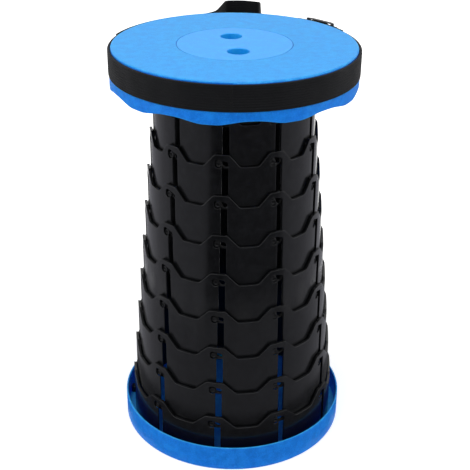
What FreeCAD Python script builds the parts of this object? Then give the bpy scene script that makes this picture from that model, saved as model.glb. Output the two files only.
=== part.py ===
import FreeCAD, Part
import math
import os

import Sketcher
from FreeCAD import Placement, Rotation, Vector

# Collapsible telescopic stool. Ten nested rings stand on one another between a tray and a seat.
# Frame: +Z up, origin at the centre of the tray's underside, -Y towards the front.
# Angles run from -Y towards +X. All lengths are in millimetres and all angles in degrees.

DRIVING_SIZES = [
    # tray
    ("shell_radius", 124.8),        # outside of the tray, and of the seat under the belt
    ("tray_height", 28.4),
    ("tray_wall", 2.0),
    ("tray_floor", 2.8),
    ("tray_land", 0.6),             # step of the floor that carries the outermost ring
    ("tray_corner", 0.6),           # rounding of the lower outside corner
    ("rim_round", 0.8),             # rounding of the tray's rim
    # rings
    ("ring_tray_gap", 7.9),         # between the tray's wall and the ring fixed in it
    ("ring_step", 3.8),             # each ring is this much smaller in radius than the next
    ("ring_wall", 2.8),
    ("hump_cover", 4.6),            # wall above a pocket, up to the hump's edge
    ("ring_drop", 41.9),            # travel of a ring inside the next one
    ("inner_ring_rise", 55.5),      # height of the innermost ring, under the seat
    # pins, slots and pockets, in columns round the rings
    ("columns", 10),
    ("first_slot", 28.6),           # direction of one slot of the outermost ring
    ("ring_turn", 0.33),            # turn of the slots from one ring to the next smaller
    ("lock_run", 6.7),              # from the middle of a slot to that of the pocket beside it
    ("pin_diameter", 6.2),
    ("pin_level", 5.0),             # pin's centre above its ring's lower edge
    ("pin_root", 1.0),              # depth to which a pin starts inside its wall
    ("pin_side_gap", 0.35),
    ("pin_end_gap", 0.35),
    ("pin_lift", 2.6),              # lift that frees a pin from its pocket
    ("passage_fall", 1.8),          # the slot ends this much lower than the pocket
    ("dimple_diameter", 3.6),
    ("dimple_depth", 1.2),
    ("channel_skin", 1.2),          # wall left outside the pins' guide channel
    # waved upper edge of the rings
    ("dip_depth", 12.75),
    ("dip_flat", 12.0),             # width of a dip's floor, as an angle
    ("dip_slope", 7.2),             # width of each slope, as an angle
    ("dip_shift", -2.0),            # turn of the waves from the slots
    ("dip_round", 4.0),
    ("hump_round", 4.0),
    ("hump_reach", 5.0),            # the cut's edge runs on over the hump by this much
    ("hump_climb", 0.4),            # and clears its top by this much there
    # fastening of the outermost ring
    ("screw_count", 5),
    ("lug_gap", 0.2),
    ("lug_rise", 8.0),
    ("lug_corner", 2.4),
    ("screw_hole", 3.4),
    ("screw_pilot", 2.6),
    ("screw_thread", 2.5),
    ("screw_head", 6.4),
    ("head_height", 1.6),
    ("head_sink", 1.9),
    ("head_gap", 0.3),
    ("screw_reach", 6.0),           # thread inside the lug or boss
    ("pilot_spare", 1.0),
    # feet
    ("foot_circle", 95.0),
    ("foot_diameter", 18.0),
    ("foot_sink", 1.2),
    ("foot_gap", 0.2),
    # seat
    ("seat_plate", 4.0),
    ("seat_round", 1.7),
    ("skirt_depth", 40.6),          # seat's top to the lowest points of the skirt
    ("skirt_wall", 2.7),
    ("skirt_flare", 2.4),           # the skirt stands out by this much below the belt
    ("skirt_wave", 3.9),
    ("wave_mouth", 29.8),           # half width of a wave at the skirt's lowest points
    ("wave_crest", 9.0),            # and of its highest part
    ("wave_round", 70.0),
    ("wave_reach", 9.0),            # the cut's edge runs on past the mouth by this much
    ("wave_climb", 0.4),            # and clears the skirt by this much there
    ("skirt_turn", 8.0),            # direction of one high point of the skirt's lower edge
    ("fold_gap", 0.4),              # left between skirt and tray when the stool is down
    ("cap_radius", 58.5),
    ("cap_plate", 3.0),
    ("cap_gap", 0.6),
    ("cap_ledge", 3.5),             # width of the ledge that carries the cap
    ("cap_rim", 2.0),
    ("cap_rim_depth", 4.0),
    ("pan_depth", 22.5),
    ("pan_wall", 2.6),
    ("ledge_depth", 7.0),
    ("ledge_width", 6.0),
    ("finger_hole", 22.0),
    ("finger_spacing", 55.0),
    ("finger_turn", 8.0),
    ("finger_round", 1.0),
    ("collar_wall", 1.6),
    ("collar_depth", 9.0),
    ("rib_width", 3.0),
    ("rib_depth", 3.4),
    ("rib_count", 20),
    ("rib_inset", 1.6),
    ("seat_screw_inset", 4.6),      # innermost ring's inside to the screws' circle
    ("boss_radius", 3.8),
    ("boss_depth", 5.0),
    ("inner_lug_rise", 4.0),
    # webbing
    ("strap_width", 26.0),
    ("strap_thickness", 1.9),       # of the loop and the tail
    ("belt_thickness", 3.1),
    ("strap_gap", 0.1),
    ("strap_drop", 1.75),           # seat's top to the webbing's upper edge
    ("handle_start", 28.0),         # directions from +X towards +Y, behind the seat
    ("handle_out", 71.0),
    ("handle_back", 110.0),
    ("handle_end", 163.0),
    ("handle_right", 27.6),         # the loop's corners and crown, from the middle plane
    ("handle_crown", 6.0),
    ("handle_left", -12.3),
    ("reach_right", 51.8),          # and from the belt outwards
    ("reach_crown", 59.8),
    ("reach_left", 57.1),
    ("bend_right", 6.0),            # radii of the loop's bends, from right to left
    ("corner_right", 5.0),
    ("crown_bend", 40.0),
    ("corner_left", 6.0),
    ("bend_left", 32.0),
    ("run_left", 22.0),             # straight run to the left bend's point
    ("slider_direction", 46.0),
    ("slider_length", 38.0),
    ("slider_height", 29.0),
    ("slider_drop", 0.5),           # middle of the slider below the middle of the belt
    ("slider_depth", 4.2),
    ("slider_taper", 6.0),          # the outer face slopes down at the ends over this length
    ("slider_end", 1.8),            # to this thickness
    ("slider_bar", 4.0),
    ("slider_rail", 1.2),
    ("slider_gap", 0.3),
    ("bar_drop", 1.2),              # centre bar's face below the side bars' face
    ("tail_run", 9.0),              # tail beyond the slider, at each end
    ("tail_crown", 2.6),            # the tail is level this far past the centre bar
    ("tail_slope", 5.8),            # and reaches the handle's layer this far past it
    ("tail_round", 1.6),
]

RING_COUNT = 10
DEGREES = 180 / math.pi
TOLERANCE = 1e-6

doc = FreeCAD.newDocument("telescopic_stool")
sheet = doc.addObject("Spreadsheet::Sheet", "Sizes")
for row, (alias, value) in enumerate(DRIVING_SIZES, start=1):
    sheet.set("A%d" % row, alias)
    sheet.set("B%d" % row, str(value))
    sheet.setAlias("B%d" % row, alias)
doc.recompute()


class Size:
    """A number together with the sheet expression that gives it."""

    def __init__(self, number, text):
        self.number = float(number)
        self.text = text

    def __add__(self, other):
        other = as_size(other)
        return Size(self.number + other.number, "(%s + %s)" % (self.text, other.text))

    def __sub__(self, other):
        other = as_size(other)
        return Size(self.number - other.number, "(%s - %s)" % (self.text, other.text))

    def __mul__(self, other):
        other = as_size(other)
        return Size(self.number * other.number, "(%s * %s)" % (self.text, other.text))

    def __truediv__(self, other):
        other = as_size(other)
        return Size(self.number / other.number, "(%s / %s)" % (self.text, other.text))

    def __neg__(self):
        return as_size(0) - self

    __radd__ = __add__
    __rmul__ = __mul__

    def __rsub__(self, other):
        return as_size(other) - self

    def __rtruediv__(self, other):
        return as_size(other) / self


def as_size(value):
    return value if isinstance(value, Size) else Size(value, repr(value))


def sine(angle):
    return Size(math.sin(math.radians(angle.number)), "sin(%s * 1 deg)" % angle.text)


def named(alias):
    """The sheet's cell of that name as a Size."""
    return Size(sheet.get(alias), "Sizes." + alias)


S = {alias: named(alias) for alias, value in DRIVING_SIZES}


def bind(target, path, size, unit=""):
    size = as_size(size)
    target.setExpression(path, size.text + unit)


class Sub:
    """One sub-part: a body with its origin planes, sketches and features."""

    def __init__(self, label, lift=0, turn=0):
        self.body = doc.addObject("PartDesign::Body", label)
        self.body.Label = label
        self.body.AllowCompound = True
        lift = as_size(lift)
        turn = as_size(turn)
        spin = Rotation(Vector(0, 0, 1), turn.number)
        self.body.Placement = Placement(Vector(0, 0, lift.number), spin)
        bind(self.body, "Placement.Base.z", lift)
        if turn.number != 0:
            bind(self.body, "Placement.Rotation.Angle", turn, " * 1 deg")
        self.label = label

    def origin(self, role):
        return next(part for part in self.body.Origin.OriginFeatures if part.Role == role)

    def sketch(self, name, plane="XZ_Plane", out=0, turn=0):
        """A sketch on an origin plane, turned about its vertical and moved along its normal."""
        sk = self.body.newObject("Sketcher::SketchObject", self.label + "_" + name)
        sk.AttachmentSupport = (self.origin(plane), [""])
        sk.MapMode = "FlatFace"
        out = as_size(out)
        turn = as_size(turn)
        spin = Rotation(Vector(0, 1, 0), turn.number)
        sk.AttachmentOffset = Placement(Vector(0, 0, out.number), spin)
        if out.number != 0:
            bind(sk, "AttachmentOffset.Base.z", out)
        if turn.number != 0:
            bind(sk, "AttachmentOffset.Rotation.Angle", turn, " * 1 deg")
        return sk

    def feature(self, kind, name, profile, **settings):
        made = self.body.newObject("PartDesign::" + kind, self.label + "_" + name)
        made.Profile = profile
        for prop, value in settings.items():
            if isinstance(value, Size):
                setattr(made, prop, value.number)
                bind(made, prop, value)
            else:
                setattr(made, prop, value)
        profile.Visibility = False
        return made

    def revolve(self, name, profile):
        axis = (self.origin("Z_Axis"), [""])
        return self.feature("Revolution", name, profile, ReferenceAxis=axis, Angle=360.0)

    def pad(self, name, profile, length, **settings):
        return self.feature("Pad", name, profile, Length=as_size(length), **settings)

    def pocket(self, name, profile, length, **settings):
        return self.feature("Pocket", name, profile, Length=as_size(length), **settings)

    def repeat(self, name, features, count):
        """Repeats features evenly round the vertical axis."""
        made = self.body.newObject("PartDesign::PolarPattern", self.label + "_" + name)
        made.Originals = features
        made.Axis = (self.origin("Z_Axis"), [""])
        made.Angle = 360.0
        made.Occurrences = int(count.number)
        bind(made, "Occurrences", count)
        self.body.Tip = made
        return made


def place_point(sk, geometry, position, x, y):
    """Constraints that set a point's place from the sketch's origin."""
    rules = []
    for kind, axis, value in (("DistanceX", -2, as_size(x)), ("DistanceY", -1, as_size(y))):
        if value.number == 0:
            rules.append((Sketcher.Constraint("PointOnObject", geometry, position, axis), None))
        else:
            rule = Sketcher.Constraint(kind, -1, 1, geometry, position, value.number)
            rules.append((rule, value))
    return rules


def add_rules(sk, rules):
    first = sk.ConstraintCount
    sk.addConstraint([rule for rule, value in rules])
    for index, (rule, value) in enumerate(rules, start=first):
        if value is not None:
            bind(sk, "Constraints[%d]" % index, value)


def circle(sk, x, y, diameter):
    x = as_size(x)
    y = as_size(y)
    diameter = as_size(diameter)
    centre = Vector(x.number, y.number, 0)
    geometry = sk.addGeometry(Part.Circle(centre, Vector(0, 0, 1), diameter.number / 2))
    rules = place_point(sk, geometry, 3, x, y)
    rules.append((Sketcher.Constraint("Diameter", geometry, diameter.number), diameter))
    add_rules(sk, rules)
    return sk


def outline(sk, corners):
    """A closed outline of straight runs. A corner is (x, y) or, where it is rounded, (x, y, radius)."""
    count = len(corners)
    places = [Vector(as_size(c[0]).number, as_size(c[1]).number, 0) for c in corners]
    rounds = [as_size(c[2]) if len(c) > 2 else None for c in corners]
    starts = []
    ends = []
    centres = []
    for i, place in enumerate(places):
        back = (places[i - 1] - place).normalize()
        ahead = (places[(i + 1) % count] - place).normalize()
        if rounds[i] is None:
            starts.append(place)
            ends.append(place)
            centres.append(None)
            continue
        half = back.getAngle(ahead) / 2
        inset = rounds[i].number / math.tan(half)
        bisector = (back + ahead).normalize()
        starts.append(place + back * inset)
        ends.append(place + ahead * inset)
        centres.append(place + bisector * (rounds[i].number / math.sin(half)))

    shapes = [Part.LineSegment(ends[i], starts[(i + 1) % count]) for i in range(count)]
    arcs = {}
    marks = {}
    for i in range(count):
        if rounds[i] is None:
            continue
        arcs[i] = len(shapes)
        towards = (places[i] - centres[i]).normalize()
        middle = centres[i] + towards * rounds[i].number
        leftwards = (middle - starts[i]).cross(ends[i] - middle).z > 0
        first, last = (starts[i], ends[i]) if leftwards else (ends[i], starts[i])
        shapes.append(Part.Arc(first, middle, last))
    for i in arcs:
        marks[i] = len(shapes)
        shapes.append(Part.Point(places[i]))
    for index, shape in enumerate(shapes):
        sk.addGeometry(shape, index in marks.values())

    rules = []
    for i in range(count):
        before = (i - 1) % count
        if i not in arcs:
            rules.append((Sketcher.Constraint("Coincident", before, 2, i, 1), None))
            rules += place_point(sk, i, 1, corners[i][0], corners[i][1])
            continue
        arc = arcs[i]
        first, last = arc_ends(sk.Geometry[arc], starts[i])
        rules.append((Sketcher.Constraint("Tangent", before, 2, arc, first), None))
        rules.append((Sketcher.Constraint("Tangent", arc, last, i, 1), None))
        rules.append((Sketcher.Constraint("Radius", arc, rounds[i].number), rounds[i]))
        rules.append((Sketcher.Constraint("PointOnObject", marks[i], 1, before), None))
        rules.append((Sketcher.Constraint("PointOnObject", marks[i], 1, i), None))
        rules += place_point(sk, marks[i], 1, corners[i][0], corners[i][1])
    add_rules(sk, rules)
    return sk


def arc_ends(arc, start):
    """Which end of a sketched arc, 1 or 2, lies at the start, and which is the other."""
    at_first = arc.StartPoint.distanceToPoint(start) < arc.EndPoint.distanceToPoint(start)
    return (1, 2) if at_first else (2, 1)


def box(sk, left, bottom, right, top, radius=None):
    corners = [(left, bottom), (right, bottom), (right, top), (left, top)]
    if radius is not None:
        corners = [corner + (radius,) for corner in corners]
    return outline(sk, corners)


# Levels and radii that several sub-parts share
outer_ring_radius = S["shell_radius"] - S["tray_wall"] - S["ring_tray_gap"]
column_angle = 360 / S["columns"]
slot_width = S["pin_diameter"] + 2 * S["pin_side_gap"]
slot_half = slot_width / 2
lock_level = S["pin_level"] + S["ring_drop"]
pocket_low = lock_level - slot_half
pocket_high = lock_level + slot_half + S["pin_lift"]
ring_rise = pocket_high + S["hump_cover"]
slot_high = pocket_high - S["passage_fall"]
slot_low = S["pin_level"] - slot_half
pin_reach = S["ring_step"] - S["channel_skin"] - S["pin_end_gap"]
ground_ring_level = S["tray_floor"] + S["tray_land"]
inner_ring_level = ground_ring_level + S["ring_drop"] * (RING_COUNT - 1)
seat_level = inner_ring_level + S["inner_ring_rise"] + S["seat_plate"]
lug_half = S["ring_tray_gap"] / 2 - S["lug_gap"]
base_screw_circle = outer_ring_radius + S["ring_tray_gap"] / 2
pan_radius = S["cap_radius"] - S["cap_ledge"]


def ring_radius(number):
    return outer_ring_radius - S["ring_step"] * (RING_COUNT - number)


seat_screw_circle = ring_radius(1) - S["ring_wall"] - S["seat_screw_inset"]


def ring_level(number):
    return ground_ring_level + S["ring_drop"] * (RING_COUNT - number)


def slot_direction(number):
    """Direction of one of the ring's slots."""
    return S["first_slot"] + S["ring_turn"] * (RING_COUNT - number)


def lock_turn(number):
    """Turn from a slot of the ring to the pocket beside it."""
    return S["lock_run"] / ring_radius(number) * DEGREES


def pin_direction(number):
    """Direction of one of the ring's own pins, which lies in a pocket of the next ring."""
    return slot_direction(number + 1) - lock_turn(number + 1)


lug_angle = slot_direction(RING_COUNT) - pin_direction(RING_COUNT) + column_angle / 2


def ring_wall(sub, number, rise):
    radius = ring_radius(number)
    sk = box(sub.sketch("section"), radius - S["ring_wall"], as_size(0), radius, rise)
    return sub.revolve("wall", sk)


def ring_cuts(sub, number):
    """Waved upper edge, slots, pockets and the pins' guide channels, one set per column."""
    radius = ring_radius(number)
    through = radius + S["ring_step"]
    slot_turn = slot_direction(number) - pin_direction(number)
    pocket_turn = slot_turn - lock_turn(number)
    dip_turn = slot_turn + column_angle / 2 + S["dip_shift"]
    floor_half = radius * sine(S["dip_flat"] / 2)
    mouth_half = radius * sine(S["dip_flat"] / 2 + S["dip_slope"])
    dip_floor = ring_rise - S["dip_depth"]
    # The cut's outline runs on over the humps and just clears them, so that it opens cleanly
    over_half = mouth_half + S["hump_reach"]
    over_low = ring_rise + S["hump_climb"]
    over_top = ring_rise + S["dip_depth"]
    dip = outline(sub.sketch("dip_outline", turn=dip_turn), [
        (-floor_half, dip_floor, S["dip_round"]),
        (floor_half, dip_floor, S["dip_round"]),
        (mouth_half, ring_rise, S["hump_round"]),
        (over_half, over_low),
        (over_half, over_top),
        (-over_half, over_top),
        (-over_half, over_low),
        (-mouth_half, ring_rise, S["hump_round"]),
    ])
    slot = box(sub.sketch("slot_outline", turn=slot_turn),
               -slot_half, slot_low, slot_half, slot_high, S["pin_diameter"] / 2)
    pocket = box(sub.sketch("pocket_outline", turn=pocket_turn),
                 -slot_half, pocket_low, slot_half, pocket_high, S["pin_diameter"] / 2)
    passage = outline(sub.sketch("passage_outline", turn=pocket_turn), [
        (as_size(0), pocket_high - slot_width),
        (S["lock_run"], pocket_high - slot_width),
        (S["lock_run"], slot_high),
        (as_size(0), pocket_high),
    ])
    channel = box(sub.sketch("channel_outline", turn=pocket_turn),
                  -slot_half, slot_low, slot_half, lock_level)
    cuts = [
        sub.pocket("dip", dip, through, Reversed=True),
        sub.pocket("slot", slot, through, Reversed=True),
        sub.pocket("pocket", pocket, through, Reversed=True),
        sub.pocket("passage", passage, through, Reversed=True),
        sub.pocket("channel", channel, radius - S["channel_skin"], Reversed=True),
    ]
    return sub.repeat("columns", cuts, S["columns"])


def ring_pins(sub, number):
    """Hollow-headed pins near the lower edge."""
    radius = ring_radius(number)
    root = radius - S["pin_root"]
    pin = circle(sub.sketch("pin_outline", out=root), 0, S["pin_level"], S["pin_diameter"])
    body = sub.pad("pin", pin, pin_reach + S["pin_root"])
    hollow = circle(sub.sketch("dimple_outline", out=radius + pin_reach),
                    0, S["pin_level"], S["dimple_diameter"])
    dimple = sub.pocket("dimple", hollow, S["dimple_depth"])
    return sub.repeat("pins", [body, dimple], S["columns"])


def moving_ring(number):
    sub = Sub("ring_%02d" % number, ring_level(number), pin_direction(number))
    ring_wall(sub, number, ring_rise)
    ring_cuts(sub, number)
    ring_pins(sub, number)


def ground_ring():
    """Outermost ring, with lugs at its foot that screws hold in the tray."""
    number = RING_COUNT
    sub = Sub("ring_%02d" % number, ring_level(number), pin_direction(number))
    ring_wall(sub, number, ring_rise)
    ring_cuts(sub, number)
    root = ring_radius(number) - S["pin_root"]
    outer = base_screw_circle + lug_half
    lug = outline(sub.sketch("lug_outline", "XY_Plane"), [
        (-lug_half, -root),
        (-lug_half, -outer, S["lug_corner"]),
        (lug_half, -outer, S["lug_corner"]),
        (lug_half, -root),
    ])
    turn_about_vertical(lug, lug_angle)
    hole = circle(sub.sketch("lug_hole_outline", "XY_Plane"),
                  0, -base_screw_circle, S["screw_pilot"])
    turn_about_vertical(hole, lug_angle)
    pilot_depth = S["screw_reach"] + S["pilot_spare"]
    features = [
        sub.pad("lug", lug, S["lug_rise"]),
        sub.pocket("lug_hole", hole, pilot_depth, Reversed=True),
    ]
    sub.repeat("lugs", features, S["screw_count"])


def turn_about_vertical(sk, turn):
    """Turns a level sketch about the vertical axis."""
    spin = Rotation(Vector(0, 0, 1), turn.number)
    sk.AttachmentOffset = Placement(sk.AttachmentOffset.Base, spin)
    bind(sk, "AttachmentOffset.Rotation.Angle", turn, " * 1 deg")


def inner_ring():
    """Innermost ring, fixed under the seat by lugs on its inside."""
    number = 1
    sub = Sub("ring_%02d" % number, ring_level(number), pin_direction(number))
    ring_wall(sub, number, S["inner_ring_rise"])
    ring_pins(sub, number)
    root = ring_radius(number) - S["ring_wall"] + S["pin_root"]
    tip = seat_screw_circle - S["boss_radius"]
    top = S["inner_ring_rise"] - S["boss_depth"]
    lug = outline(sub.sketch("lug_outline", "XY_Plane", out=top), [
        (-S["boss_radius"], -root),
        (-S["boss_radius"], -tip, S["lug_corner"]),
        (S["boss_radius"], -tip, S["lug_corner"]),
        (S["boss_radius"], -root),
    ])
    hole = circle(sub.sketch("lug_hole_outline", "XY_Plane", out=top),
                  0, -seat_screw_circle, S["screw_hole"])
    features = [
        sub.pad("lug", lug, S["inner_lug_rise"], Reversed=True),
        sub.pocket("lug_hole", hole, S["inner_lug_rise"]),
    ]
    sub.repeat("lugs", features, S["screw_count"])


def tray():
    sub = Sub("base_tray", turn=pin_direction(RING_COUNT) + lug_angle)
    outer = S["shell_radius"]
    inner = outer - S["tray_wall"]
    land = ring_radius(RING_COUNT) - S["ring_wall"] - S["pin_end_gap"]
    section = outline(sub.sketch("section"), [
        (as_size(0), as_size(0)),
        (outer, as_size(0), S["tray_corner"]),
        (outer, S["tray_height"], S["rim_round"]),
        (inner, S["tray_height"], S["rim_round"]),
        (inner, ground_ring_level),
        (land, ground_ring_level),
        (land, S["tray_floor"]),
        (as_size(0), S["tray_floor"]),
    ])
    sub.revolve("shell", section)
    hole = circle(sub.sketch("hole_outline", "XY_Plane"),
                  0, -base_screw_circle, S["screw_hole"])
    sink = circle(sub.sketch("sink_outline", "XY_Plane"),
                  0, -base_screw_circle, S["screw_head"] + 2 * S["head_gap"])
    recess = circle(sub.sketch("recess_outline", "XY_Plane"),
                    0, -S["foot_circle"], S["foot_diameter"] + 2 * S["foot_gap"])
    cuts = [
        sub.pocket("hole", hole, ground_ring_level, Reversed=True),
        sub.pocket("sink", sink, S["head_sink"], Reversed=True),
        sub.pocket("recess", recess, S["foot_sink"], Reversed=True),
    ]
    sub.repeat("fastenings", cuts, S["screw_count"])


def screws(label, lift, turn, circle_radius, grip):
    """A set of pan-head screws that point up. Grip is the length from the head to the thread."""
    sub = Sub(label, lift, turn)
    bore = circle(sub.sketch("head_outline", "XY_Plane"), 0, -circle_radius, S["screw_head"])
    shank = circle(sub.sketch("shank_outline", "XY_Plane"), 0, -circle_radius, S["screw_thread"])
    features = [
        sub.pad("head", bore, S["head_height"], Reversed=True),
        sub.pad("shank", shank, grip + S["screw_reach"]),
    ]
    sub.repeat("set", features, S["screw_count"])


def feet():
    sub = Sub("base_feet", turn=pin_direction(RING_COUNT) + lug_angle)
    pad = circle(sub.sketch("pad_outline", "XY_Plane"), 0, -S["foot_circle"], S["foot_diameter"])
    features = [sub.pad("pad", pad, S["foot_sink"])]
    sub.repeat("set", features, S["screw_count"])


def seat_top():
    sub = Sub("seat_top", seat_level)
    outer = S["shell_radius"]
    inner = outer - S["skirt_wall"]
    flared = outer + S["skirt_flare"]
    belt_seat = S["strap_drop"] + S["strap_width"] + S["strap_gap"]
    hole = S["cap_radius"] + S["cap_gap"]
    pan = pan_radius
    section = outline(sub.sketch("section"), [
        (as_size(0), -S["pan_depth"] - S["pan_wall"]),
        (pan + S["pan_wall"], -S["pan_depth"] - S["pan_wall"]),
        (pan + S["pan_wall"], -S["ledge_depth"]),
        (pan + S["ledge_width"], -S["ledge_depth"]),
        (pan + S["ledge_width"], -S["seat_plate"]),
        (inner, -S["seat_plate"]),
        (inner, -belt_seat - S["skirt_wall"]),
        (flared - S["skirt_wall"], -belt_seat - S["skirt_wall"]),
        (flared - S["skirt_wall"], -S["skirt_depth"]),
        (flared, -S["skirt_depth"]),
        (flared, -belt_seat),
        (outer, -belt_seat),
        (outer, as_size(0), S["seat_round"]),
        (hole, as_size(0)),
        (hole, -S["cap_plate"]),
        (pan, -S["cap_plate"]),
        (pan, -S["pan_depth"]),
        (as_size(0), -S["pan_depth"]),
    ])
    sub.revolve("shell", section)
    low = -S["skirt_depth"]
    high = S["skirt_wave"] - S["skirt_depth"]
    over_half = S["wave_mouth"] + S["wave_reach"]
    over_high = low - S["wave_climb"]
    over_low = low - S["skirt_wave"]
    wave = outline(sub.sketch("wave_outline", turn=S["skirt_turn"]), [
        (-over_half, over_low),
        (over_half, over_low),
        (over_half, over_high),
        (S["wave_mouth"], low, S["wave_round"]),
        (S["wave_crest"], high, S["wave_round"]),
        (-S["wave_crest"], high, S["wave_round"]),
        (-S["wave_mouth"], low, S["wave_round"]),
        (-over_half, over_high),
    ])
    cut = sub.pocket("wave", wave, flared + S["ring_step"], Reversed=True)
    sub.repeat("waves", [cut], S["columns"])

    rib_inner = ring_radius(1) + S["rib_inset"]
    rib_outer = inner + S["skirt_wall"] / 2
    rib = box(sub.sketch("rib_outline", "XY_Plane", out=-S["seat_plate"]),
              -S["rib_width"] / 2, -rib_outer, S["rib_width"] / 2, -rib_inner)
    sub.repeat("ribs", [sub.pad("rib", rib, S["rib_depth"], Reversed=True)], S["rib_count"])

    boss = circle(sub.sketch("boss_outline", "XY_Plane", out=-S["seat_plate"]),
                  0, -seat_screw_circle, 2 * S["boss_radius"])
    turn_about_vertical(boss, pin_direction(1))
    pilot = circle(sub.sketch("pilot_outline", "XY_Plane", out=-S["seat_plate"] - S["boss_depth"]),
                   0, -seat_screw_circle, S["screw_pilot"])
    turn_about_vertical(pilot, pin_direction(1))
    features = [
        sub.pad("boss", boss, S["boss_depth"], Reversed=True),
        sub.pocket("pilot", pilot, S["screw_reach"] + S["pilot_spare"], Reversed=True),
    ]
    sub.repeat("bosses", features, S["screw_count"])


def seat_cap():
    """Round cap with two finger holes, each with a collar below."""
    sub = Sub("seat_cap", seat_level, S["finger_turn"])
    rim = pan_radius - S["cap_gap"]
    section = outline(sub.sketch("section"), [
        (as_size(0), -S["cap_plate"]),
        (rim - S["cap_rim"], -S["cap_plate"]),
        (rim - S["cap_rim"], -S["cap_plate"] - S["cap_rim_depth"]),
        (rim, -S["cap_plate"] - S["cap_rim_depth"]),
        (rim, -S["cap_plate"]),
        (S["cap_radius"], -S["cap_plate"]),
        (S["cap_radius"], as_size(0)),
        (as_size(0), as_size(0)),
    ])
    sub.revolve("disc", section)
    reach = S["finger_spacing"] / 2
    collar = circle(sub.sketch("collar_outline", "XY_Plane"),
                    0, -reach, S["finger_hole"] + 2 * S["collar_wall"])
    hole = circle(sub.sketch("hole_outline", "XY_Plane"), 0, -reach, S["finger_hole"])
    deep = S["cap_plate"] + S["collar_depth"]
    features = [
        sub.pad("collar", collar, deep, Reversed=True),
        sub.pocket("hole", hole, deep),
    ]
    pattern = sub.repeat("finger_holes", features, as_size(2))
    doc.recompute()
    edges = [
        "Edge%d" % index
        for index, edge in enumerate(pattern.Shape.Edges, start=1)
        if is_circle(edge, S["finger_hole"].number / 2) and abs(edge.Curve.Center.z) < TOLERANCE
    ]
    rounding = sub.body.newObject("PartDesign::Fillet", "seat_cap_rounding")
    rounding.Base = (pattern, edges)
    rounding.Radius = S["finger_round"].number
    bind(rounding, "Radius", S["finger_round"])
    sub.body.Tip = rounding


def is_circle(edge, radius):
    return isinstance(edge.Curve, Part.Circle) and abs(edge.Curve.Radius - radius) < TOLERANCE


# Webbing: the belt lies in the seat's groove, the handle's layer on the belt, the tail on the handle
belt_inner = S["shell_radius"] + S["strap_gap"]
belt_outer = belt_inner + S["belt_thickness"]
handle_inner = belt_outer + S["strap_gap"]
handle_middle = handle_inner + S["strap_thickness"] / 2
handle_outer = handle_inner + S["strap_thickness"]
strap_top = seat_level - S["strap_drop"]
strap_low = strap_top - S["strap_width"]


def strap_belt():
    sub = Sub("strap_belt", strap_low)
    sub.revolve("band", box(sub.sketch("section"), belt_inner, as_size(0),
                            belt_outer, S["strap_width"]))


def polar(radius, degrees, level):
    turn = math.radians(degrees)
    return Vector(radius * math.cos(turn), radius * math.sin(turn), level)


def webbing(label, path, first, level):
    """A strip of webbing on edge, swept along a level path."""
    tangent = path.Edges[0].tangentAt(path.Edges[0].FirstParameter)
    if path.Edges[0].valueAt(path.Edges[0].FirstParameter).distanceToPoint(first) > TOLERANCE:
        tangent = -path.Edges[0].tangentAt(path.Edges[0].LastParameter)
    side = Vector(-tangent.y, tangent.x, 0).normalize() * (S["strap_thickness"].number / 2)
    rise = Vector(0, 0, S["strap_width"].number)
    base = Vector(first.x, first.y, level)
    section = Part.makePolygon([base - side, base + side, base + side + rise,
                                base - side + rise, base - side])
    strip = path.makePipeShell([section], True, False)
    made = doc.addObject("Part::Feature", label)
    made.Label = label
    made.Shape = strip
    made.Placement = Placement()
    return made


def rounded_path(points, radii):
    """Straight runs through the points, with an arc of the given radius at each inner one."""
    edges = []
    begin = points[0]
    for i in range(1, len(points) - 1):
        back = (points[i - 1] - points[i]).normalize()
        ahead = (points[i + 1] - points[i]).normalize()
        half = back.getAngle(ahead) / 2
        inset = radii[i - 1] / math.tan(half)
        bisector = (back + ahead).normalize()
        middle = points[i] + bisector * (radii[i - 1] / math.sin(half) - radii[i - 1])
        start = points[i] + back * inset
        end = points[i] + ahead * inset
        edges.append(Part.LineSegment(begin, start).toShape())
        edges.append(Part.Arc(start, middle, end).toShape())
        begin = end
    edges.append(Part.LineSegment(begin, points[-1]).toShape())
    return edges


def belt_tangent(degrees):
    """Direction along the belt at a place on it, with the angle growing."""
    turn = math.radians(degrees)
    return Vector(-math.sin(turn), math.cos(turn), 0)


def arc_on_belt(radius, start, end, level):
    middle = (start + end) / 2
    return Part.Arc(polar(radius, start, level), polar(radius, middle, level),
                    polar(radius, end, level)).toShape()


def strap_handle():
    """Second layer of webbing, which leaves the belt behind the seat as a loop."""
    level = strap_low.number
    radius = handle_middle.number
    start = S["handle_start"].number
    out = S["handle_out"].number
    back = S["handle_back"].number
    end = S["handle_end"].number
    leave = polar(radius, out, level)
    meet = polar(radius, back, level)
    # The loop's legs start where they cross the belt's tangents at both of its ends
    run_right = (leave.x - S["handle_right"].number) / math.sin(math.radians(out))
    points = [
        leave,
        leave + belt_tangent(out) * run_right,
        Vector(S["handle_right"].number, radius + S["reach_right"].number, level),
        Vector(S["handle_crown"].number, radius + S["reach_crown"].number, level),
        Vector(S["handle_left"].number, radius + S["reach_left"].number, level),
        meet - belt_tangent(back) * S["run_left"].number,
        meet,
    ]
    bends = ["bend_right", "corner_right", "crown_bend", "corner_left", "bend_left"]
    edges = [arc_on_belt(radius, start, out, level)]
    edges += rounded_path(points, [S[name].number for name in bends])
    edges.append(arc_on_belt(radius, back, end, level))
    path = Part.Wire(edges)
    webbing("strap_handle", path, polar(radius, start, level), level)


def slider_frame(x, y):
    """A place beside the slider: x along the belt, y outwards from the belt's axis."""
    turn = math.radians(S["slider_direction"].number)
    outward = Vector(math.cos(turn), math.sin(turn), 0)
    along = Vector(-math.sin(turn), math.cos(turn), 0)
    return along * x + outward * y


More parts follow.
